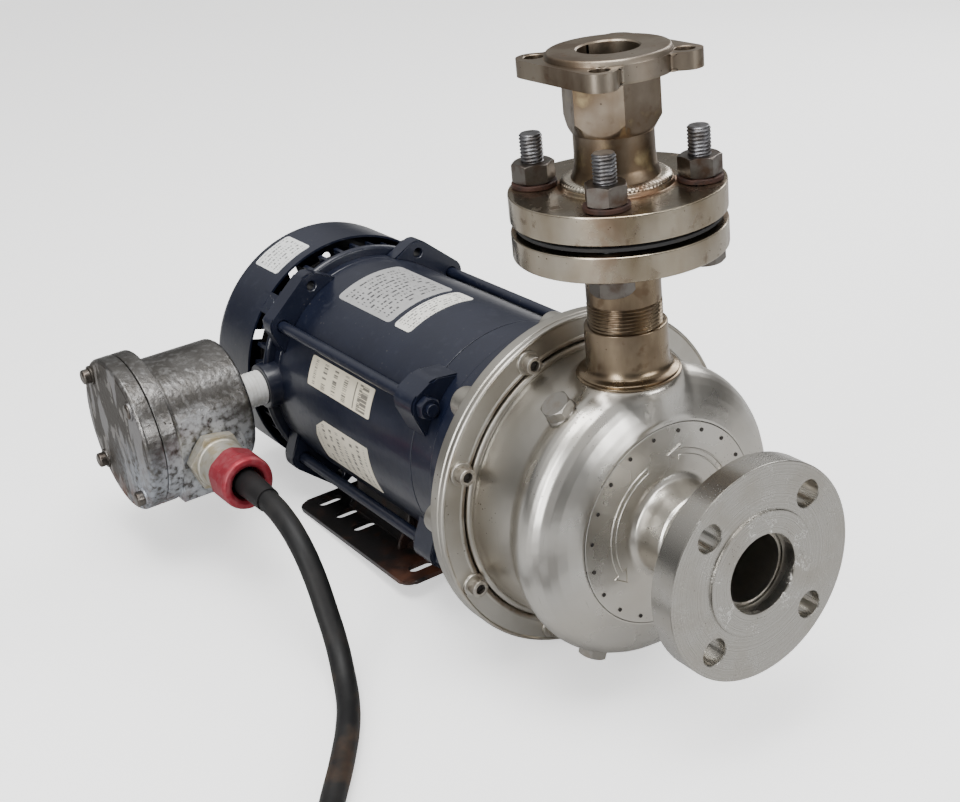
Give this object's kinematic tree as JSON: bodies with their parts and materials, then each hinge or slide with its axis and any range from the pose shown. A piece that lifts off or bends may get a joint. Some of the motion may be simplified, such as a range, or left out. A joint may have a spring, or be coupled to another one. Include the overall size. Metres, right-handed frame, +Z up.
{
  "type": "centrifugal water pump",
  "caption": "Close-coupled centrifugal water pump on a fan-cooled foot motor: end suction flange, top discharge stack of bolted flanges, side junction box with a rubber cable.",
  "frame": {"origin": "underside of the motor foot, below the shaft, in the row of the front bolt slots", "axes": "+Z up, parallel to the discharge pipe; the shaft lies along Y, 88.9 mm above the foot, with the suction flange facing -Y and the fan at +Y; the junction box is at -X"},
  "size_m": [0.448, 0.6483, 0.398],
  "materials": {
    "navy_paint": "semi-gloss dark navy enamel, scuffed on edges",
    "black_paint": "satin black enamel on stamped steel, rust at the edges",
    "lamination_steel": "stacked electrical steel",
    "copper": "varnished copper wire",
    "steel": "ground steel",
    "fan_plastic": "moulded black",
    "cast_stainless": "blasted investment casting",
    "pressed_stainless": "satin pressed sheet with fine dark specks",
    "machined_stainless": "turned, with fine circular tool marks",
    "heat_tinted_stainless": "brown and gold heat tint from welding",
    "zinc_steel": "dull zinc, rusted at the washers",
    "zinc_casting": "weathered grey casting, white bloom and rust stains",
    "thread_tape": "white tape",
    "red_anodised": "satin red anodising",
    "carbon_black": "matt black",
    "cable_rubber": "black rubber, dusty"
  },
  "bodies": {
    "root": {"stator_shell": "navy_paint", "front_end_bell": "navy_paint", "rear_end_bell": "navy_paint", "fan_cover": "navy_paint", "through_bolt_1": "navy_paint", "through_bolt_2": "navy_paint", "through_bolt_3": "navy_paint", "through_bolt_4": "navy_paint", "foot_base": "black_paint", "stator_core": "lamination_steel", "stator_winding": "copper", "front_bearing_outer": "steel", "rear_bearing_outer": "steel", "casing_screw_1": "steel", "casing_screw_2": "steel", "casing_screw_3": "steel", "casing_screw_4": "steel", "casing_screw_5": "steel", "casing_screw_6": "steel", "casing_screw_7": "steel", "casing_screw_8": "steel", "motor_adapter": "cast_stainless", "vent_plug": "cast_stainless", "drain_plug": "cast_stainless", "casing": "pressed_stainless", "suction_cover": "pressed_stainless", "seal_plate": "pressed_stainless", "seal_seat": "carbon_black", "flange_gasket": "carbon_black", "suction_flange": "machined_stainless", "discharge_nipple": "heat_tinted_stainless", "lower_flange": "heat_tinted_stainless", "upper_flange": "heat_tinted_stainless", "valve_end_piece": "heat_tinted_stainless", "gland_body": "zinc_steel", "flange_stud_1": "zinc_steel", "flange_stud_2": "zinc_steel", "flange_stud_3": "zinc_steel", "flange_stud_4": "zinc_steel", "cover_screw_1": "zinc_steel", "cover_screw_2": "zinc_steel", "cover_screw_3": "zinc_steel", "cover_screw_4": "zinc_steel", "box_nipple": "thread_tape", "box_body": "zinc_casting", "box_cover": "zinc_casting", "gland_nut": "red_anodised", "cable": "cable_rubber", "cable_coil": "cable_rubber", "plug": "cable_rubber"},
    "rotor": {"shaft": "steel", "rotor_core": "lamination_steel", "cooling_fan": "fan_plastic", "impeller": "cast_stainless", "impeller_nut": "steel", "seal_rotary": "steel", "front_bearing_inner": "steel", "rear_bearing_inner": "steel"},
    "front_cage": {"front_ball_cage": "steel"},
    "rear_cage": {"rear_ball_cage": "steel"}
  },
  "joints": [
    {"name": "shaft_spin", "type": "hinge", "parent": "root", "child": "rotor", "pos_m": [0, -0.1603, 0.0889], "axis": [0, 1, 0], "continuous": true},
    {"name": "front_cage_spin", "type": "hinge", "parent": "root", "child": "front_cage", "pos_m": [0, -0.0693, 0.0889], "axis": [0, 1, 0], "continuous": true},
    {"name": "rear_cage_spin", "type": "hinge", "parent": "root", "child": "rear_cage", "pos_m": [0, 0.1637, 0.0889], "axis": [0, 1, 0], "continuous": true}
  ],
  "couplings": [
    {"joint": "front_cage_spin", "follows": "shaft_spin", "ratio": 0.38},
    {"joint": "rear_cage_spin", "follows": "shaft_spin", "ratio": 0.38}
  ]
}
